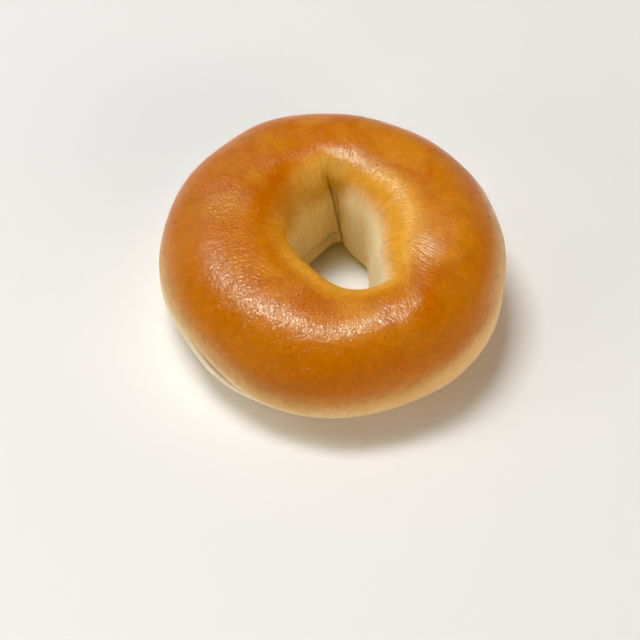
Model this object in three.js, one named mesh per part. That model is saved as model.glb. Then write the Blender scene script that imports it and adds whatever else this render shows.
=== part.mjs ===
import * as THREE from 'three';
import { ParametricGeometry } from 'three/addons/geometries/ParametricGeometry.js';

// Millimetres, +Z up, the base on z = 0. Angles in degrees run anticlockwise from +X, seen from above.

// Plan: the outer edge, and the walls of the hole as [the way a wall faces out, its distance].
const outerRadius = 52.8;
const outerWaves = [[2, 0.0144, -23], [3, 0.0047, 8], [4, 0.0029, 29], [5, 0.0086, 33]];
const holeCentreX = 1.5;
const holeCentreY = 3.0;
const holeWalls = [[141, 11.4], [208, 12.3], [238, 18.7], [264, 23.2], [300, 22.6], [2, 9.7], [46, 12.1]];
const holeCornerPower = 12;
const holeTwist = 12;

// Section of the ring: s runs from 0 at the hole to 1 at the outer edge.
const height = 38.1;
const heightWaves = [[1, 0.035, 98], [2, 0.008, 20]];
const crestShare = 0.45;
const crestWaves = [[1, 0.05, 108], [3, 0.02, 40]];
const outerTopPower = 2.45;
const outerTopBumps = [[243, 38, -0.2]];
const innerTopPower = 2.95;
const innerTopBumps = [[128, 30, -0.9], [52, 24, 1.0]];
const basePower = 2.9;
const tuckPower = 0.65;
const tuckSpan = 30;
const widestAtHole = 0.15;
const widestAtEdge = 0.44;
const baseSink = 1.2;

// Seam where the two ends of the dough meet, on the far wall of the hole.
const seamTurn = 83;
const seamLean = 20;
const seamDepth = 2.4;
const seamWidth = 5;

// Rolled lip at the foot of the hole.
const lipHeight = 6.6;
const lipSlope = 1.4;
const lipDepth = 0.9;
const lipWidth = 1.7;

// Dough that rounds off the top of the corner above the seam.
const cornerTurn = 105;
const cornerWidth = 17;
const cornerFill = 3.8;

// Stretched hollow running out of one corner of the hole.
const hollowTurn = 311;
const hollowWidth = 8;
const hollowDepth = 1.3;
const hollowShare = 0.17;

// Fold of dough along the outer edge near the base.
const foldTurn = 228;
const foldSpan = 15;
const foldHeight = 14.6;
const foldFall = 0.36;
const foldDepth = 1.0;
const foldWidth = 1.6;
const foldLip = 0.7;

// Soft unevenness: [waves round the ring, waves round the section, phase, height], fainter in the hole.
const lumps = [[3, 1, 20, 0.30], [5, -2, 110, 0.26], [7, 2, 250, 0.18], [9, -1, 65, 0.14], [12, 3, 300, 0.09]];
const lumpsInHole = 0.2;

const stepsAround = 120;
const stepsSection = 48;
const centreX = -0.02;
const centreY = -0.23;

const rad = THREE.MathUtils.degToRad;
const smooth = (x) => THREE.MathUtils.smoothstep(x, 0, 1);
const power = (x, p) => Math.sign(x) * Math.abs(x) ** p;
const bell = (x, width) => Math.exp(-((x / width) ** 2));

function waved(base, waves, turn) {
  let share = 1;
  for (const [lobes, size, at] of waves) {
    share += size * Math.cos(lobes * (turn - rad(at)));
  }
  return base * share;
}

function angleFrom(turn, degrees) {
  const gap = turn - rad(degrees);
  return THREE.MathUtils.radToDeg(Math.atan2(Math.sin(gap), Math.cos(gap)));
}

function bumped(base, bumps, turn) {
  let value = base;
  for (const [at, width, size] of bumps) {
    value += size * bell(angleFrom(turn, at), width);
  }
  return value;
}

function holeRadius(turn) {
  let sum = 0;
  for (const [faces, distance] of holeWalls) {
    sum += Math.max(0, Math.cos(turn - rad(faces)) / distance) ** holeCornerPower;
  }
  return sum ** (-1 / holeCornerPower);
}

function ringPoint(u, v, target) {
  const turn = 2 * Math.PI * u;
  const tilt = 2 * Math.PI * v;
  const c = Math.cos(tilt);
  const q = Math.sin(tilt);
  const outer = waved(outerRadius, outerWaves, turn);
  const tall = waved(height, heightWaves, turn);
  const crest = waved(crestShare, crestWaves, turn);

  // Section: a superellipse, squarer inside and below, rounder in the tuck under the fold.
  const outerPower = bumped(outerTopPower, outerTopBumps, turn);
  const innerPower = bumped(innerTopPower, innerTopBumps, turn);
  const topPower = THREE.MathUtils.lerp(outerPower, innerPower, smooth(0.5 - 0.5 * c));
  const along = angleFrom(turn, foldTurn);
  const foot = basePower - tuckPower * bell(along, tuckSpan) * smooth(0.5 + 0.5 * c);
  const n = THREE.MathUtils.lerp(foot, topPower, smooth(0.5 + 0.5 * q));
  const across = power(c, 2 / n);
  const up = power(q, 2 / n);
  const s = crest + (c > 0 ? 1 - crest : crest) * across;
  const widest = tall * THREE.MathUtils.lerp(widestAtHole, widestAtEdge, smooth(s));
  let z = widest + (q > 0 ? tall - widest : widest + baseSink) * up;
  const rise = z / height;

  // Plan position between the wall of the hole and the outer edge.
  const corner = bell(angleFrom(turn, cornerTurn), cornerWidth) * smooth((rise - 0.45) / 0.45);
  const inner = holeRadius(turn - rad(holeTwist * (rise - 0.1))) - cornerFill * corner;
  const inside = Math.max(0, 1 - s / crest);
  const seamGap = Math.abs(angleFrom(turn, seamTurn) - seamLean * rise);
  const seam = seamDepth * Math.exp(-seamGap / seamWidth) * inside ** 0.8;
  const ux = Math.cos(turn);
  const uy = Math.sin(turn);
  const innerX = holeCentreX + inner * ux;
  const innerY = holeCentreY + inner * uy;
  let x = THREE.MathUtils.lerp(innerX, outer * ux, s) + seam * ux;
  let y = THREE.MathUtils.lerp(innerY, outer * uy, s) + seam * uy;

  // Relief, along the way the section faces out.
  let out = 0;
  for (const [around, section, phase, size] of lumps) {
    out += size * Math.cos(around * turn + section * tilt + rad(phase));
  }
  out *= THREE.MathUtils.lerp(lumpsInHole, 1, smooth(2 * s));
  const wall = smooth((inside - 0.55) / 0.4);
  out -= lipDepth * wall * bell(z - lipHeight + lipSlope * ux, lipWidth);
  out -= hollowDepth * bell(angleFrom(turn, hollowTurn), hollowWidth) * bell(s - hollowShare, 0.14);
  const rim = smooth((s - 0.8) / 0.15) * bell(along, foldSpan);
  const above = z - foldHeight + foldFall * along;
  out += rim * (foldLip * bell(above + 4.5, 3.2) - foldDepth * bell(above, foldWidth));
  x += out * c * ux;
  y += out * c * uy;
  z += out * q;
  target.set(x - centreX, y - centreY, Math.max(0, z));
}

const geometry = new ParametricGeometry(ringPoint, stepsAround, stepsSection);
const crust = new THREE.MeshStandardMaterial({ name: 'crust', color: 0xb4620c, roughness: 0.35 });
const bagel = new THREE.Mesh(geometry, crust);
bagel.name = 'bagel';

const group = new THREE.Group();
group.name = 'bagel_plain';
group.add(bagel);

export default group;
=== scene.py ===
# A plain bagel: one uneven ring of bread with a browned crust, on a pale floor.
import bpy
import math
from types import SimpleNamespace

from mathutils import Matrix, Vector


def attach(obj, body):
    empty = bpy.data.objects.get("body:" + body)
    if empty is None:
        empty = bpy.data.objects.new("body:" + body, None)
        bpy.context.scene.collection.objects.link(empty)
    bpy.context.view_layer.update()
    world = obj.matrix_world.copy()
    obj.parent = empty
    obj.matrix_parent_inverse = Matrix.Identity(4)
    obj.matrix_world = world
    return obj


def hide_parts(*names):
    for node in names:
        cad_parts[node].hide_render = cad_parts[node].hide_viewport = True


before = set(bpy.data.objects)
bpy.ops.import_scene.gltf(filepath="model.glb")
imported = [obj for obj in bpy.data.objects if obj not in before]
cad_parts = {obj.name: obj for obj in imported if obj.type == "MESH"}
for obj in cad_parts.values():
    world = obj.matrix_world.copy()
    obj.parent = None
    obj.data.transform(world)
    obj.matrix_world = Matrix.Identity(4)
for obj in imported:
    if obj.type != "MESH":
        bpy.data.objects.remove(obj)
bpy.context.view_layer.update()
scene = bpy.context.scene


# helpers for node trees
def plug(tree, value, socket):
    if isinstance(value, Field):
        tree.links.new(value.socket, socket)
    else:
        socket.default_value = value


class Field:  # a socket that can be added and multiplied like a number
    def __init__(self, tree, socket):
        self.tree = tree
        self.socket = socket

    def calc(self, operation, *others, first=None):
        node = self.tree.nodes.new("ShaderNodeMath")
        node.operation = operation
        values = (self, *others) if first is None else (first, self, *others)
        for value, socket in zip(values, node.inputs):
            plug(self.tree, value, socket)
        return Field(self.tree, node.outputs[0])

    def __add__(self, other):
        return self.calc("ADD", other)

    def __sub__(self, other):
        return self.calc("SUBTRACT", other)

    def __mul__(self, other):
        return self.calc("MULTIPLY", other)

    def __truediv__(self, other):
        return self.calc("DIVIDE", other)

    def __pow__(self, other):
        return self.calc("POWER", other)

    def __rsub__(self, other):
        return self.calc("SUBTRACT", first=other)

    def __neg__(self):
        return self * -1.0

    __radd__ = __add__
    __rmul__ = __mul__


def cos(angle):
    return angle.calc("COSINE")


def sin(angle):
    return angle.calc("SINE")


def atLeast(value, low):
    return value.calc("MAXIMUM", low)


def atMost(value, high):
    return value.calc("MINIMUM", high)


def between(low, high, share):  # low at share 0, high at share 1
    return (high - low) * share + low


def ease(value, start=0.0, end=1.0):  # 0 before start, 1 after end, soft at both
    node = value.tree.nodes.new("ShaderNodeMapRange")
    node.interpolation_type = "SMOOTHSTEP"
    plug(value.tree, value, node.inputs["Value"])
    plug(value.tree, start, node.inputs["From Min"])
    plug(value.tree, end, node.inputs["From Max"])
    return Field(value.tree, node.outputs["Result"])


def bell(value, width):
    ratio = value / width
    return (-(ratio * ratio)).calc("EXPONENT")


def signedPower(value, exponent):
    return value.calc("ABSOLUTE") ** exponent * value.calc("SIGN")


def degreesFrom(turn, degrees):  # the angle from a bearing, -180 to 180
    gap = turn - math.radians(degrees)
    return sin(gap).calc("ARCTAN2", cos(gap)) * (180 / math.pi)


def vectorOf(tree, x, y, z):
    node = tree.nodes.new("ShaderNodeCombineXYZ")
    for value, socket in zip((x, y, z), node.inputs):
        plug(tree, value, socket)
    return Field(tree, node.outputs[0])


def timesNumber(tree, vector, factor):
    node = tree.nodes.new("ShaderNodeVectorMath")
    node.operation = "SCALE"
    tree.links.new(vector.socket, node.inputs[0])
    plug(tree, factor, node.inputs["Scale"])
    return Field(tree, node.outputs[0])


def partsOf(vector):
    node = vector.tree.nodes.new("ShaderNodeSeparateXYZ")
    vector.tree.links.new(vector.socket, node.inputs[0])
    return [Field(vector.tree, socket) for socket in node.outputs]


def nearBearing(turn, degrees, width):  # 1 at a bearing, falling away on both sides of it
    return bell(degreesFrom(turn, degrees), width)


def awayFrom(turn, degrees):  # the angle from a bearing, 0 to 180
    return degreesFrom(turn, degrees).calc("ABSOLUTE")


def noise(vector, scale, detail=2.0, roughness=0.5, distortion=0.0, w=None):
    tree = vector.tree
    node = tree.nodes.new("ShaderNodeTexNoise")
    node.noise_dimensions = "3D" if w is None else "4D"
    plug(tree, vector, node.inputs["Vector"])
    if w is not None:
        plug(tree, w, node.inputs["W"])
    plug(tree, scale, node.inputs["Scale"])
    plug(tree, detail, node.inputs["Detail"])
    plug(tree, roughness, node.inputs["Roughness"])
    plug(tree, distortion, node.inputs["Distortion"])
    return Field(tree, node.outputs[0])


def hexColor(code):  # a screen colour as the linear one a shader wants
    channels = [int(code[i:i + 2], 16) / 255 for i in (0, 2, 4)]
    return tuple(c / 12.92 if c <= 0.04045 else ((c + 0.055) / 1.055) ** 2.4 for c in channels) + (1.0,)


# the ring of dough, sizes in millimetres and degrees
ring = {
    "outerRadius": 52.8,
    "outerWaves": [(2, 0.0144, -23), (3, 0.0047, 8), (4, 0.0029, 29), (5, 0.0086, 33)],
    "holeCentre": (1.5, 3.0),
    "holeWalls": [(141, 11.4), (208, 12.3), (238, 18.7), (264, 23.2), (300, 22.6), (2, 9.7), (46, 12.1)],
    "holeCornerPower": 12,
    "holeTwist": 12.0,
    "twistFrom": 0.1,
    "height": 38.1,
    "heightWaves": [(1, 0.035, 98), (2, 0.008, 20)],
    "crestShare": 0.45,
    "crestWaves": [(1, 0.05, 108), (3, 0.02, 40)],
    "outerTopPower": 2.45,
    "outerTopBumps": [(243, 38, -0.2)],
    "innerTopPower": 2.95,
    "innerTopBumps": [(128, 30, -0.9), (52, 24, 1.0)],
    "basePower": 2.9,
    "tuckPower": 0.65,
    "tuckSpan": 30.0,
    "widestAtHole": 0.15,
    "widestAtEdge": 0.44,
    "baseSink": 1.2,
    "seamTurn": 83,
    "seamLean": 20,
    "seamDepth": 2.4,
    "seamWidth": 5.0,
    "seamFade": 0.8,
    "lipHeight": 6.6,
    "lipSlope": 1.4,
    "lipDepth": 0.9,
    "lipWidth": 1.7,
    "lipReach": (0.55, 0.95),
    "hollowTurn": 311,
    "hollowWidth": 8.0,
    "hollowDepth": 1.3,
    "hollowShare": 0.17,
    "hollowReach": 0.14,
    "cornerTurn": 105,
    "cornerWidth": 17.0,
    "cornerFill": 3.8,
    "cornerRise": (0.45, 0.9),
    "foldTurn": 228,
    "foldSpan": 15.0,
    "foldHeight": 14.6,
    "foldFall": 0.36,
    "foldDepth": 1.0,
    "foldWidth": 1.6,
    "foldReach": (0.8, 0.95),
    "foldLip": 0.7,
    "foldLipDrop": 4.5,
    "foldLipWidth": 3.2,
    "lumps": [(3, 1, 20, 0.30), (5, -2, 110, 0.26), (7, 2, 250, 0.18), (9, -1, 65, 0.14), (12, 3, 300, 0.09)],
    "lumpsInHole": 0.2,
    "lumpsReach": (0.0, 0.5),
    "centre": (-0.02, -0.23),
    "stepsAround": 400,
    "stepsSection": 240,
    "weldGap": 0.002,
    "wrinkleHeight": 0.09,
    "wrinkleScale": 0.36,
    "wanderScale": 0.09,
    "wanderEase": (0.35, 0.65),
    "swellScale": 0.055,
    "swellHeight": 2.2,        # beside the wrinkles' own height
    "wrinkleStart": (0.5, 3.0),  # none on the flat underside
    "seed": 4.0,
}
toMetres = 0.001
toRadians = math.pi / 180


def waved(base, waves, turn):
    share = 1.0
    for lobes, size, bearing in waves:
        share = cos((turn - math.radians(bearing)) * float(lobes)) * size + share
    return share * base


def bumped(base, bumps, turn):
    for bearing, width, height in bumps:
        base = bell(degreesFrom(turn, bearing), float(width)) * height + base
    return base


def holeRadius(size, named, turn, rise):  # a rounded polygon that twists on its way up
    twisted = turn - named["Hole twist"] * (rise - size["twistFrom"]) * toRadians
    total = 0.0
    for bearing, distance in size["holeWalls"]:
        reach = atLeast(cos(twisted - math.radians(bearing)) / distance, 0.0)
        total = reach ** float(size["holeCornerPower"]) + total
    radius = total ** (-1.0 / size["holeCornerPower"])
    corner = nearBearing(turn, size["cornerTurn"], size["cornerWidth"]) * ease(rise, *size["cornerRise"])
    return radius - named["Corner fill"] * corner


def sectionForm(size, named, turn, c, q):  # a superellipse, squarer inside and below, rounder in the tuck
    tall = waved(named["Height"], size["heightWaves"], turn)
    crest = waved(named["Crest share"], size["crestWaves"], turn)
    outerPower = bumped(size["outerTopPower"], size["outerTopBumps"], turn)
    innerPower = bumped(size["innerTopPower"], size["innerTopBumps"], turn)
    topPower = between(outerPower, innerPower, ease(0.5 - c * 0.5))
    tuck = nearBearing(turn, size["foldTurn"], size["tuckSpan"]) * ease(c * 0.5 + 0.5)
    foot = size["basePower"] - tuck * size["tuckPower"]
    n = between(foot, topPower, ease(q * 0.5 + 0.5))
    across = signedPower(c, n ** -1.0 * 2.0)
    up = signedPower(q, n ** -1.0 * 2.0)
    s = crest + atLeast(across, 0.0) * (1.0 - crest) + atMost(across, 0.0) * crest
    widest = tall * between(size["widestAtHole"], size["widestAtEdge"], ease(s))
    z = widest + atLeast(up, 0.0) * (tall - widest) + atMost(up, 0.0) * (widest + size["baseSink"])
    return s, z, atLeast(1.0 - s / crest, 0.0)


def ringRelief(size, named, turn, tilt, s, z, inside):  # along the way the section faces out
    out = 0.0
    for around, section, phase, height in size["lumps"]:
        out = cos(turn * float(around) + tilt * float(section) + math.radians(phase)) * height + out
    out = out * between(size["lumpsInHole"], 1.0, ease(s, *size["lumpsReach"]))
    lip = bell(z - size["lipHeight"] + cos(turn) * size["lipSlope"], size["lipWidth"])
    out = out - named["Lip depth"] * ease(inside, *size["lipReach"]) * lip
    hollow = nearBearing(turn, size["hollowTurn"], size["hollowWidth"])
    out = out - named["Hollow depth"] * hollow * bell(s - size["hollowShare"], size["hollowReach"])
    along = degreesFrom(turn, size["foldTurn"])
    rim = ease(s, *size["foldReach"]) * bell(along, size["foldSpan"])
    above = z - size["foldHeight"] + along * size["foldFall"]
    foldLip = named["Fold lip"] * bell(above + size["foldLipDrop"], size["foldLipWidth"])
    return out + rim * (foldLip - named["Fold depth"] * bell(above, size["foldWidth"]))


def ringForm(tree, size, named, u, v):  # where each point of the grid goes, and its place in the section
    turn, tilt = u * (2 * math.pi), v * (2 * math.pi)
    ux, uy = cos(turn), sin(turn)
    c, q = cos(tilt), sin(tilt)
    s, z, inside = sectionForm(size, named, turn, c, q)
    rise = z / named["Height"]
    outer = waved(named["Outer radius"], size["outerWaves"], turn)
    inner = holeRadius(size, named, turn, rise)
    seamGap = (degreesFrom(turn, size["seamTurn"]) - rise * size["seamLean"]).calc("ABSOLUTE")
    seam = (-(seamGap / size["seamWidth"])).calc("EXPONENT") * inside ** size["seamFade"]
    seam = seam * named["Seam depth"]
    out = ringRelief(size, named, turn, tilt, s, z, inside)
    plan = []
    for toward, holeMiddle, ringMiddle in zip((ux, uy), size["holeCentre"], size["centre"]):
        place = between(toward * inner + holeMiddle, outer * toward, s) + seam * toward
        plan.append((place + out * c * toward - ringMiddle) * toMetres)
    z = atLeast(z + out * q, 0.0) * toMetres
    return vectorOf(tree, *plan, z), vectorOf(tree, c, q, s)


def skinWrinkles(tree, size, named):  # how far each point of the skin is pushed out
    place = Field(tree, tree.nodes.new("GeometryNodeInputPosition").outputs[0])
    seed = named["Seed"]
    wander = noise(place, size["wanderScale"] / toMetres, w=seed)
    foldScale = named["Wrinkle scale"] * (1 / toMetres)
    folds = noise(place, foldScale, detail=3.0, roughness=0.55, distortion=0.6, w=seed + 3.0)
    ridges = (folds - 0.5).calc("ABSOLUTE") * -2.0 * ease(wander, *size["wanderEase"])
    swell = noise(place, size["swellScale"] / toMetres, detail=1.0, w=seed + 7.0)
    relief = (ridges + (swell - 0.5) * size["swellHeight"]) * named["Wrinkle height"]
    start, full = [height * toMetres for height in size["wrinkleStart"]]
    return relief * ease(partsOf(place)[2], start, full) * toMetres


def keepOnMesh(tree, geometry, name, kind, domain, value):
    node = tree.nodes.new("GeometryNodeStoreNamedAttribute")
    node.data_type = kind
    node.domain = domain
    node.inputs["Name"].default_value = name
    tree.links.new(geometry, node.inputs["Geometry"])
    tree.links.new(value, node.inputs["Value"])
    return node.outputs["Geometry"]


def ringTree(size):
    tree = bpy.data.node_groups.new("bagelRing", "GeometryNodeTree")
    nodes, links = tree.nodes, tree.links
    tree.interface.new_socket("Geometry", in_out="OUTPUT", socket_type="NodeSocketGeometry")
    inputs = [
        ("Outer radius", "outerRadius", "Float"),
        ("Height", "height", "Float"),
        ("Crest share", "crestShare", "Float"),
        ("Hole twist", "holeTwist", "Float"),
        ("Seam depth", "seamDepth", "Float"),
        ("Lip depth", "lipDepth", "Float"),
        ("Hollow depth", "hollowDepth", "Float"),
        ("Corner fill", "cornerFill", "Float"),
        ("Fold depth", "foldDepth", "Float"),
        ("Fold lip", "foldLip", "Float"),
        ("Wrinkle height", "wrinkleHeight", "Float"),
        ("Wrinkle scale", "wrinkleScale", "Float"),
        ("Seed", "seed", "Float"),
        ("Steps around", "stepsAround", "Int"),
        ("Steps section", "stepsSection", "Int"),
    ]
    for label, _, kind in inputs:
        tree.interface.new_socket(label, in_out="INPUT", socket_type="NodeSocket" + kind)
    tree.interface.new_socket("Crust", in_out="INPUT", socket_type="NodeSocketMaterial")
    groupIn = nodes.new("NodeGroupInput")
    named = {label: Field(tree, groupIn.outputs[label]) for label, _, _ in inputs}

    # a flat grid, bent into the ring: across it the way round, up it the way round the section
    grid = nodes.new("GeometryNodeMeshGrid")
    grid.inputs["Size X"].default_value = 1.0
    grid.inputs["Size Y"].default_value = 1.0
    plug(tree, named["Steps around"] + 1, grid.inputs["Vertices X"])
    plug(tree, named["Steps section"] + 1, grid.inputs["Vertices Y"])
    gridMap = grid.outputs["UV Map"]
    dough = keepOnMesh(tree, grid.outputs["Mesh"], "crustMap", "FLOAT2", "CORNER", gridMap)
    u, v, _ = partsOf(Field(tree, gridMap))
    form, sectionPlace = ringForm(tree, size, named, u, v)
    dough = keepOnMesh(tree, dough, "sectionPlace", "FLOAT_VECTOR", "POINT", sectionPlace.socket)
    bend = nodes.new("GeometryNodeSetPosition")
    links.new(dough, bend.inputs["Geometry"])
    links.new(form.socket, bend.inputs["Position"])
    join = nodes.new("GeometryNodeMergeByDistance")
    join.inputs["Distance"].default_value = size["weldGap"] * toMetres
    links.new(bend.outputs["Geometry"], join.inputs["Geometry"])

    skin = nodes.new("GeometryNodeSetPosition")
    links.new(join.outputs["Geometry"], skin.inputs["Geometry"])
    normal = Field(tree, nodes.new("GeometryNodeInputNormal").outputs[0])
    push = timesNumber(tree, normal, skinWrinkles(tree, size, named))
    links.new(push.socket, skin.inputs["Offset"])

    smoothFaces = nodes.new("GeometryNodeSetShadeSmooth")
    links.new(skin.outputs["Geometry"], smoothFaces.inputs["Geometry"])
    realize = nodes.new("GeometryNodeRealizeInstances")
    links.new(smoothFaces.outputs["Geometry"], realize.inputs["Geometry"])
    dress = nodes.new("GeometryNodeSetMaterial")
    links.new(realize.outputs["Geometry"], dress.inputs["Geometry"])
    links.new(groupIn.outputs["Crust"], dress.inputs["Material"])
    groupOut = nodes.new("NodeGroupOutput")
    links.new(dress.outputs["Geometry"], groupOut.inputs["Geometry"])
    return tree, inputs


def makeBagel(size, crust):
    tree, inputs = ringTree(size)
    mesh = bpy.data.meshes.new("bagelCrust")
    bagel = bpy.data.objects.new("bagelCrust", mesh)
    scene.collection.objects.link(bagel)
    modifier = bagel.modifiers.new("ring", "NODES")
    modifier.node_group = tree
    sockets = {item.name: item.identifier for item in tree.interface.items_tree if item.in_out == "INPUT"}
    for label, key, _ in inputs:
        modifier[sockets[label]] = size[key]
    modifier[sockets["Crust"]] = crust
    depsgraph = bpy.context.evaluated_depsgraph_get()
    plain = bpy.data.meshes.new_from_object(
        bagel.evaluated_get(depsgraph), preserve_all_data_layers=True, depsgraph=depsgraph)
    bagel.modifiers.clear()
    bagel.data = plain
    plain.name = "bagelCrust"
    return bagel


# colours as on screen, lengths in millimetres, bearings in degrees, places from 0, the hole, to 1, the edge
crustLook = {
    "crest": "CC6E0A",
    "amber": "DC891A",
    "amberPatches": 0.65,
    "amberLean": 0.04,
    "amberEase": (0.40, 0.62),
    "shoulder": "C47214",
    "shoulderEase": (0.55, 0.9),
    "shoulderShare": 0.8,

    # golden ring round the top of the hole
    "gold": "F0AB36",
    "goldLeft": "DAA74A",
    "goldLeftTurn": 130,
    "goldLeftEase": (60.0, 35.0),
    "goldShare": 0.28,
    "goldSwing": 0.09,
    "goldBearing": 350,
    "goldBumps": [(250, 35, 0.03), (155, 40, -0.05), (300, 22, -0.05), (112, 26, 0.06), (64, 26, -0.09)],
    "goldEase": (-0.12, 0.10),
    "goldRagged": {"broad": 0.12, "patches": 0.12, "fibre": 0.08},

    # pale foot, lowest in front, in three steps from brown to cream
    "footEdge": "CC8C40",
    "foot": "E4BC7E",
    "footLow": "F2D6A2",
    "footLeft": "FFF5DC",
    "footHeight": 15.6,
    "footFront": 272,
    "footFrontEase": (8.0, 90.0),
    "footClimb": 10.5,
    "footRises": [(0, 32, 4.5), (224, 24, 2.0)],
    "footSteps": [(-6.0, 1.0), (-1.5, 6.0), (4.0, 11.0)],
    "footRagged": {"broad": 5.0, "fibre": 4.0},
    "footSide": (0.5, 0.7),
    "footDull": (318, 24, 0.5),      # bearing, width, strength
    "footBright": (222, 36, 0.85),
    # painted sheen: a paler right edge, in the foot's pale colour
    "rightEdgeSheen": (10, 28, 0.45),
    "rightEdgeSheenEase": (0.86, 0.96),

    # wall of the hole: cream on the right, olive on the left, brown on the hidden front
    "wallCream": "FFF2CC",
    "wallOlive": "F6DA94",
    "wallHidden": "A87434",
    "wallDeep": "EACA92",
    "wallReach": (0.16, 0.3),
    "wallHeight": 31.0,              # where the wall turns gold
    "wallBlur": 4.5,
    "wallRagged": {"broad": 5.0, "fibre": 3.0},
    "oliveTurn": 150,
    "oliveEase": (80.0, 52.0),
    "oliveDrop": 5.0,
    "hiddenTurn": 258,
    "hiddenEase": (55.0, 30.0),
    "deepEase": (17.0, 3.0),
    "deepShare": 0.7,
    "paintedWallLight": 0.10,                    # painted light: emission on the cream wall of the hole, standing in for light that comes through the bread
    "paintedWallLightColor": (1.0, 0.7, 0.14, 1.0),

    # painted shade in the seams, the lower lip, the fold and a ledge, real dark specks, and one painted
    # lighter patch
    # painted shade in the two seam creases
    "seamWidth": 1.2,
    "seamPaintedShade": 0.5,
    "seamReach": (34.0, 27.0),
    "secondSeamWidth": 0.9,
    "secondSeamPaintedShade": 0.35,
    "secondSeamFoot": 5.0,
    "secondSeamLean": 0.27,
    "secondSeamStart": (6.0, 12.0),
    "secondSeamEnd": (29.0, 24.0),
    # painted shade along the crease above the lower lip of the hole
    "lipLine": 7.6,
    "lipWidth": 0.8,
    "lipPaintedShade": 0.25,
    "lipRagged": {"broad": 4.0, "down": 3.0},
    # painted shadow under the lip of the fold at the lower left
    "foldPaintedShadow": "A87A40",
    "foldLine": 13.3,
    "foldWidth": 0.5,
    "foldReach": 10.0,
    "foldStrength": 0.7,
    "ledge": (8, 28, 0.3),           # bearing, width and strength of painted shade along a ledge low on the right wall
    "ledgeHeight": 13.0,
    "ledgeWidth": 1.0,
    "specks": [                      # x, y, z and size
        (-48, 3, 32, 0.7), (-22, -5, 38, 0.6), (-17, 4, 33, 0.7), (15, -5, 29, 0.8), (47.5, 6.5, 33, 0.8)],
    "speckDark": 0.35,
    "paintedLightTurn": (112, 32),          # painted light: a lighter patch behind the hole, where the slope turns from the lamps
    "paintedLightPlace": (0.26, 0.11),
    "paintedLightShare": 0.12,

    # noises, with scales per metre, and how far each one lightens and darkens
    "noises": {
        "broad": {"scale": 34.0},
        "patches": {"scale": 95.0, "detail": 3.0, "roughness": 0.55, "distortion": 0.4},
        "wander": {"scale": 150.0},
        "mottle": {"scale": 260.0, "detail": 3.0, "roughness": 0.6},
        "speckle": {"scale": 620.0},
        "creaseLines": {"scale": 760.0, "distortion": 0.9},
        "grain": {"scale": 1150.0, "roughness": 0.55, "distortion": 0.6},
        "fine": {"scale": 1700.0},
    },
    "blotches": {"broad": 0.12, "mottle": 0.3, "fibre": 0.16, "speckle": 0.26, "fine": 0.42},
    "blotchesOnPale": 0.5,
    "fibreAround": 36.0,             # fibres across the ring
    "fibreAcross": 7.0,
    "fibreWander": 0.14,
    "fibreRough": 0.6,
    "downAround": 34.0,              # streaks down the hole
    "downAlong": 0.09,
    "downRough": 0.65,
    "downDark": 0.5,

    # shine
    "rough": 0.21,
    "roughPale": 0.6,
    "shine": 0.2,
    "shinePale": 0.06,
    "dull": (108, 17, 1.1),          # bearing, width, strength
    "dullPlace": (0.32, 0.2),
    "cloudTurn": (74, 26),
    "cloudPlace": (0.24, 0.11),
    "cloudRough": 0.10,
    "cloudShine": 2.2,
    "crinkleShine": 1.7,

    # wrinkles too fine for the mesh
    "fibreDepth": 0.16,
    "streakDepth": 0.22,
    "streakTurn": (66, 36),
    "streakPlace": (0.27, 0.2),
    "crinkleDepth": 0.45,
    "crinkles": [(334, 13, 0.42, 0.11), (297, 12, 0.56, 0.11)],  # bearing, width, place, reach
    "leftSideTurn": (182, 42),
    "leftSidePlace": (0.58, 0.22),
    "leftSideCrinkle": 0.5,
    "leftSideGrain": 0.8,
    "grainDepth": 0.12,
    "creaseDepth": 0.06,
    "creaseWidth": 0.05,
    "creaseBreaks": (0.3, 0.55),
    "downDepth": 0.45,
    "arcCentre": (-25.6, -29.2),
    "arcToward": (-0.55, 0.83),
    "arcGap": 1.9,
    "arcStart": (2.5, 5.0),
    "arcEnd": (19.0, 13.0),
    "arcSide": (0.0, 0.6),
    "arcBreaks": (0.35, 0.6),
    "arcRagged": {"mottle": 4.0, "patches": 5.0},
    "arcDepth": 0.045,
    "depthOnPale": 0.5,
}


def blend(tree, share, first, second):
    node = tree.nodes.new("ShaderNodeMix")
    node.data_type = "RGBA"
    plug(tree, share, node.inputs["Factor"])
    for value, index in ((first, 6), (second, 7)):
        if isinstance(value, Field):
            tree.links.new(value.socket, node.inputs[index])
        else:
            node.inputs[index].default_value = hexColor(value)
    return Field(tree, node.outputs[2])


def storedOn(tree, name):
    node = tree.nodes.new("ShaderNodeAttribute")
    node.attribute_name = name
    return partsOf(Field(tree, node.outputs["Vector"]))


def placeOnCrust(tree, look):  # where each point is, and the noises there
    at = SimpleNamespace(tree=tree)
    coords = tree.nodes.new("ShaderNodeTexCoord")
    place = Field(tree, coords.outputs["Object"])
    at.x, at.y, at.z = [part / toMetres for part in partsOf(place)]
    c, q, at.s = storedOn(tree, "sectionPlace")
    at.turn = storedOn(tree, "crustMap")[0] * (2 * math.pi)
    at.ux, at.uy = cos(at.turn), sin(at.turn)
    for name, settings in look["noises"].items():
        setattr(at, name, noise(place, **settings))
    wander = (at.wander - 0.5) * look["fibreWander"]
    around, across = look["fibreAround"], look["fibreAcross"]
    fibres = vectorOf(tree, (at.ux + wander) * around, (at.uy + wander) * around, c * across)
    at.fibre = noise(fibres, 1.0, detail=3.0, roughness=look["fibreRough"], w=q * across)
    around = look["downAround"]
    streaks = vectorOf(tree, at.ux * around, at.uy * around, at.z * look["downAlong"])
    at.down = noise(streaks, 1.0, detail=3.0, roughness=look["downRough"])
    return at


def ragged(at, amounts):  # the named noises, each by its own amount, about zero
    total = 0.0
    for name, amount in amounts.items():
        total = (getattr(at, name) - 0.5) * amount + total
    return total


def patchAt(at, turnWidth, placeWidth):  # a soft patch at a bearing and a place in the section
    return nearBearing(at.turn, *turnWidth) * bell(at.s - placeWidth[0], placeWidth[1])


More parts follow.
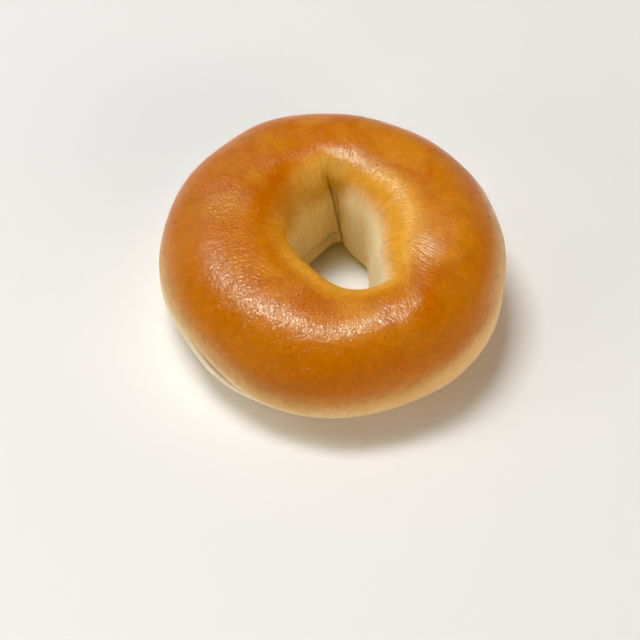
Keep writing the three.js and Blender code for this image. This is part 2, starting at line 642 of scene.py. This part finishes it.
def footMasks(at, look):
    climb = ease(awayFrom(at.turn, look["footFront"]), *look["footFrontEase"]) * look["footClimb"]
    climb = bumped(climb, look["footRises"], at.turn)
    below = climb + look["footHeight"] - at.z + ragged(at, look["footRagged"])
    at.side = ease(at.s, *look["footSide"])
    at.footEdge, at.foot, at.footLow = [ease(below, *step) * at.side for step in look["footSteps"]]


def holeMasks(at, look):
    at.inner = 1.0 - ease(at.s, *look["wallReach"])
    at.olive = ease(awayFrom(at.turn, look["oliveTurn"]), *look["oliveEase"])
    at.hidden = ease(awayFrom(at.turn, look["hiddenTurn"]), *look["hiddenEase"])
    level = at.z + at.olive * look["oliveDrop"] + ragged(at, look["wallRagged"])
    top, blur = look["wallHeight"], look["wallBlur"]
    at.wall = at.inner * (1.0 - ease(level, top - blur, top + blur))


def goldMask(at, look):
    edge = cos(at.turn - math.radians(look["goldBearing"])) * look["goldSwing"] + look["goldShare"]
    edge = bumped(edge, look["goldBumps"], at.turn)
    return 1.0 - ease(at.s - edge + ragged(at, look["goldRagged"]), *look["goldEase"])


# painted shadow under the lip of the fold at the lower left
def paintedFoldShadow(at, look):
    along = degreesFrom(at.turn, ring["foldTurn"])
    line = bell(at.z - look["foldLine"] + along * ring["foldFall"], look["foldWidth"])
    return line * bell(along, look["foldReach"]) * at.side * look["foldStrength"]


def crustTone(at, look):
    tree = at.tree
    amber = between(at.broad, at.patches, look["amberPatches"]) + at.ux * look["amberLean"]
    amber = ease(amber, *look["amberEase"])
    goldLeft = ease(awayFrom(at.turn, look["goldLeftTurn"]), *look["goldLeftEase"])
    bearing, width, strength = look["footDull"]
    footLow = at.footLow * (1.0 - nearBearing(at.turn, bearing, width) * strength)
    bearing, width, strength = look["footBright"]
    footBright = nearBearing(at.turn, bearing, width) * footLow * strength
    # painted sheen: a paler right edge
    bearing, width, strength = look["rightEdgeSheen"]
    rightEdgeSheen = nearBearing(at.turn, bearing, width) * ease(at.s, *look["rightEdgeSheenEase"]) * at.side * strength
    wallTone = blend(tree, at.olive, look["wallCream"], look["wallOlive"])
    wallTone = blend(tree, at.hidden, wallTone, look["wallHidden"])
    wallTone = blend(tree, ease(at.z, *look["deepEase"]) * look["deepShare"], wallTone, look["wallDeep"])

    tone = look["crest"]
    for share, color in (
            (amber, look["amber"]),
            (ease(at.s, *look["shoulderEase"]) * look["shoulderShare"], look["shoulder"]),
            (goldMask(at, look), blend(tree, goldLeft, look["gold"], look["goldLeft"])),
            (at.footEdge, look["footEdge"]),
            (at.foot, look["foot"]),
            (footLow, look["footLow"]),
            (footBright, look["footLeft"]),
            # painted sheen along the right edge
            (rightEdgeSheen, look["footLow"]),
            (at.wall, wallTone),
            # painted shadow under the lip of the fold
            (paintedFoldShadow(at, look), look["foldPaintedShadow"])):
        tone = blend(tree, share, tone, color)
    return timesNumber(tree, tone, crustShade(at, look))


def paintedSeamShade(at, look):  # two lines of painted shade in the creases down the far wall of the hole
    gap = degreesFrom(at.turn, ring["seamTurn"]) - at.z * (ring["seamLean"] / ring["height"])
    second = bell(gap + (at.z - look["secondSeamFoot"]) * look["secondSeamLean"], look["secondSeamWidth"])
    second = second * ease(at.z, *look["secondSeamStart"]) * ease(at.z, *look["secondSeamEnd"])
    seams = bell(gap, look["seamWidth"]) * look["seamPaintedShade"] + second * look["secondSeamPaintedShade"]
    return 1.0 - seams * at.inner * ease(at.z, *look["seamReach"])


def speckShade(at, look):
    shade = 1.0
    for x, y, z, size in look["specks"]:
        apart = [at.x - float(x), at.y - float(y), at.z - float(z)]
        gap = (apart[0] * apart[0] + apart[1] * apart[1] + apart[2] * apart[2]).calc("SQRT")
        shade = (1.0 - bell(gap, float(size)) * look["speckDark"]) * shade
    return shade


def crustShade(at, look):  # light and dark: a painted lighter patch, blotches, painted shade in the seams, along the lower lip and a ledge, specks
    # painted light: a lighter patch behind the hole
    shade = patchAt(at, look["paintedLightTurn"], look["paintedLightPlace"]) * look["paintedLightShare"] + 1.0
    blotches = ragged(at, look["blotches"]) * between(1.0, look["blotchesOnPale"], at.pale)
    shade = shade * (blotches + 1.0)
    shade = shade * paintedSeamShade(at, look)
    shade = shade * ((at.down - 0.5) * at.inner * look["downDark"] + 1.0)
    # painted shade along the crease above the lower lip of the hole
    lipGap = at.z - look["lipLine"] + at.ux * ring["lipSlope"] + ragged(at, look["lipRagged"])
    shade = shade * (1.0 - bell(lipGap, look["lipWidth"]) * at.inner * at.olive * look["lipPaintedShade"])
    # painted shade along a ledge low on the right wall of the hole
    bearing, width, strength = look["ledge"]
    ledge = nearBearing(at.turn, bearing, width) * bell(at.z - look["ledgeHeight"], look["ledgeWidth"])
    shade = shade * (1.0 - ledge * at.inner * strength)
    return shade * speckShade(at, look)


def arcRelief(at, look):  # arcs in the skin, in front on the left
    apartX, apartY = at.x - look["arcCentre"][0], at.y - look["arcCentre"][1]
    gap = (apartX * apartX + apartY * apartY).calc("SQRT")
    towardX, towardY = look["arcToward"]
    side = (apartY * towardY + apartX * towardX) / atLeast(gap, 1.0)
    arcs = ease(gap, *look["arcStart"]) * ease(gap, *look["arcEnd"]) * ease(side, *look["arcSide"])
    waves = sin((gap + ragged(at, look["arcRagged"])) * (2 * math.pi / look["arcGap"]))
    return arcs * ease(at.mottle, *look["arcBreaks"]) * waves * look["arcDepth"]


def crustRelief(at, look):  # fibres, streaks near the seam, crinkles, grain, creases, arcs
    leftSide = patchAt(at, look["leftSideTurn"], look["leftSidePlace"])
    crinkled = (at.crinkles + leftSide * look["leftSideCrinkle"]) * look["crinkleDepth"]
    streaked = patchAt(at, look["streakTurn"], look["streakPlace"]) * look["streakDepth"]
    height = (at.fibre - 0.5) * (streaked + crinkled + look["fibreDepth"])
    creases = 1.0 - ease((at.creaseLines - 0.5).calc("ABSOLUTE"), 0.0, look["creaseWidth"])
    creases = creases * ease(at.patches, *look["creaseBreaks"]) * look["creaseDepth"]
    fineHeight = (at.grain - 0.5) * look["grainDepth"] - creases
    height = height + fineHeight * (leftSide * look["leftSideGrain"] + 1.0)
    height = height + (at.down - 0.5) * at.inner * look["downDepth"]
    height = height + arcRelief(at, look)
    return height * between(1.0, look["depthOnPale"], at.pale)


def crustMaterial(look):
    material = bpy.data.materials.new("bakedCrust")
    material.use_nodes = True
    tree = material.node_tree
    nodes, links = tree.nodes, tree.links
    nodes.clear()
    at = placeOnCrust(tree, look)
    footMasks(at, look)
    holeMasks(at, look)
    at.pale = at.foot.calc("MAXIMUM", at.wall)
    at.crinkles = 0.0
    for bearing, width, place, reach in look["crinkles"]:
        at.crinkles = patchAt(at, (bearing, width), (place, reach)) + at.crinkles

    shader = nodes.new("ShaderNodeBsdfPrincipled")
    plug(tree, crustTone(at, look), shader.inputs["Base Color"])
    bump = nodes.new("ShaderNodeBump")
    bump.inputs["Strength"].default_value = 1.0
    bump.inputs["Distance"].default_value = toMetres
    plug(tree, crustRelief(at, look), bump.inputs["Height"])
    links.new(bump.outputs[0], shader.inputs["Normal"])

    cloud = patchAt(at, look["cloudTurn"], look["cloudPlace"])
    rough = between(look["rough"], look["roughPale"], at.pale) + cloud * look["cloudRough"]
    plug(tree, rough, shader.inputs["Roughness"])
    bearing, width, strength = look["dull"]
    dull = patchAt(at, (bearing, width), look["dullPlace"]) * strength
    shine = between(look["shine"], look["shinePale"], at.pale.calc("MAXIMUM", dull))
    shine = shine * (cloud * look["cloudShine"] + at.crinkles * look["crinkleShine"] + 1.0)
    shader.inputs["Specular IOR Level"].default_value = look["shine"]
    plug(tree, shine, shader.inputs["Specular IOR Level"])
    # painted light: emission on the cream wall of the hole, standing in for light that comes through the
    # bread
    shader.inputs["Emission Color"].default_value = look["paintedWallLightColor"]
    paintedWallLight = at.wall * (1.0 - at.hidden) * (1.0 - at.olive) * look["paintedWallLight"]
    plug(tree, paintedWallLight, shader.inputs["Emission Strength"])
    output = nodes.new("ShaderNodeOutputMaterial")
    links.new(shader.outputs[0], output.inputs[0])
    return material


crust = crustMaterial(crustLook)
bagel = makeBagel(ring, crust)
print("bagel made:", len(bagel.data.polygons), "faces")
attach(bagel, "root")
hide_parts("bagel")


floorLook = {"reach": 3.0, "color": (0.875, 0.868, 0.885, 1.0), "rough": 0.6}


def makeFloor(look):
    reach = look["reach"]
    corners = [(-reach, -reach, 0), (reach, -reach, 0), (reach, reach, 0), (-reach, reach, 0)]
    floorMesh = bpy.data.meshes.new("floor")
    floorMesh.from_pydata(corners, [], [(0, 1, 2, 3)])
    floor = bpy.data.objects.new("floor", floorMesh)
    scene.collection.objects.link(floor)
    paint = bpy.data.materials.new("paleFloor")
    paint.use_nodes = True
    surface = paint.node_tree.nodes["Principled BSDF"]
    surface.inputs["Base Color"].default_value = look["color"]
    surface.inputs["Roughness"].default_value = look["rough"]
    floorMesh.materials.append(paint)
    return floor


# soft boxes, in metres and watts: a lamp either lights the crust or shines in it
lights = {
    "key": {
        "at": (-0.64, 0.66, 2.35), "size": (1.15, 0.5), "power": 43.0,
        "color": (0.98, 0.985, 1.0), "shines": False},
    "glint": {
        "at": (-0.62, 0.14, 2.35), "size": (1.0, 0.45), "power": 140.0,
        "color": (0.80, 1.0, 0.84), "shines": True},
    "spark": {
        "at": (0.15, 1.25, 2.35), "size": (0.45, 0.35), "power": 5.0,
        "color": (0.85, 1.0, 0.88), "shines": True},
    "rear": {
        "at": (-1.3, 1.8, 2.1), "size": (1.0, 0.6), "power": 21.0,
        "color": (0.85, 1.0, 0.8), "shines": True},
    "front": {
        "at": (1.0, -1.1, 0.7), "size": (1.6, 0.5), "power": 8.8,
        "color": (1.0, 0.80, 0.60), "shines": False},
    "window": {
        "at": (-1.7, 0.2, 1.5), "size": (1.0, 0.5), "power": 5.0,
        "color": (1.0, 0.95, 0.8), "shines": False},
    "left": {
        "at": (-1.6, -0.9, 0.6), "size": (1.0, 0.5), "power": 5.6,
        "color": (1.0, 0.9, 0.78), "shines": False},
}


def softBox(name, spec):
    lamp = bpy.data.lights.new(name, "AREA")
    lamp.shape = "RECTANGLE"
    lamp.size, lamp.size_y = spec["size"]
    lamp.energy = spec["power"]
    lamp.color = spec["color"]
    holder = bpy.data.objects.new(name, lamp)
    spot = Vector(spec["at"])
    back = spot.normalized()
    right = (Vector((1, 0, 0)) - back * back.x).normalized()  # long side along X
    above = back.cross(right)
    holder.matrix_world = facing(right, above, back, spot)
    holder.visible_diffuse = not spec["shines"]
    holder.visible_glossy = spec["shines"]
    scene.collection.objects.link(holder)


def facing(right, above, back, spot):
    return Matrix((
        (right.x, above.x, back.x, spot.x),
        (right.y, above.y, back.y, spot.y),
        (right.z, above.z, back.z, spot.z),
        (0, 0, 0, 1)))


view = {
    "elevation": 52.0,
    "distance": 0.65,
    "roll": 1.0,
    "target": (-0.00347, -0.0087, 0.0),
    "pixelsPerMm": 3.2,
    "pictureWidth": 640,
    "sensorWidth": 36.0,
}


def makeCamera(spec):
    tiltUp = math.radians(spec["elevation"])
    back = Vector((0, -math.cos(tiltUp), math.sin(tiltUp)))
    right = Vector((1, 0, 0))
    above = back.cross(right)
    roll = Matrix.Rotation(math.radians(spec["roll"]), 3, back)
    right, above = roll @ right, roll @ above
    lens = bpy.data.cameras.new("camera")
    lens.sensor_fit = "HORIZONTAL"
    lens.sensor_width = spec["sensorWidth"]
    widthSeen = spec["pictureWidth"] / spec["pixelsPerMm"] * toMetres
    lens.lens = spec["distance"] / widthSeen * spec["sensorWidth"]
    lens.clip_start = 0.01
    camera = bpy.data.objects.new("camera", lens)
    spot = Vector(spec["target"]) + back * spec["distance"]
    camera.matrix_world = facing(right, above, back, spot)
    scene.collection.objects.link(camera)
    scene.camera = camera


room = {
    "color": (1.0, 0.89, 0.79, 1.0),
    "walls": 0.5,
    "ceiling": 0.01,
    "wallTop": (0.25, 0.55),
    "level": 1.03,
    "rightSide": 0.28,
    "blackLevel": 0.01,
}


def horizonGlow(tree, look):  # pale walls all round, a dark ceiling, brighter on the right
    background = tree.nodes["Background"]
    background.inputs["Color"].default_value = look["color"]
    coords = tree.nodes.new("ShaderNodeTexCoord")
    x, _, z = partsOf(Field(tree, coords.outputs["Generated"]))
    strength = between(look["walls"], look["ceiling"], ease(z, *look["wallTop"]))
    strength = strength * (x * look["rightSide"] + look["level"])
    plug(tree, strength, background.inputs["Strength"])


floor = makeFloor(floorLook)
for name, spec in lights.items():
    softBox(name, spec)
world = bpy.data.worlds.new("studio")
scene.world = world
world.use_nodes = True
horizonGlow(world.node_tree, room)
scene.view_settings.view_transform = "Standard"
scene.view_settings.use_curve_mapping = True  # slightly crushed blacks
scene.view_settings.curve_mapping.black_level = [room["blackLevel"]] * 3
scene.view_settings.curve_mapping.update()
makeCamera(view)
print("floor, lights and camera set")
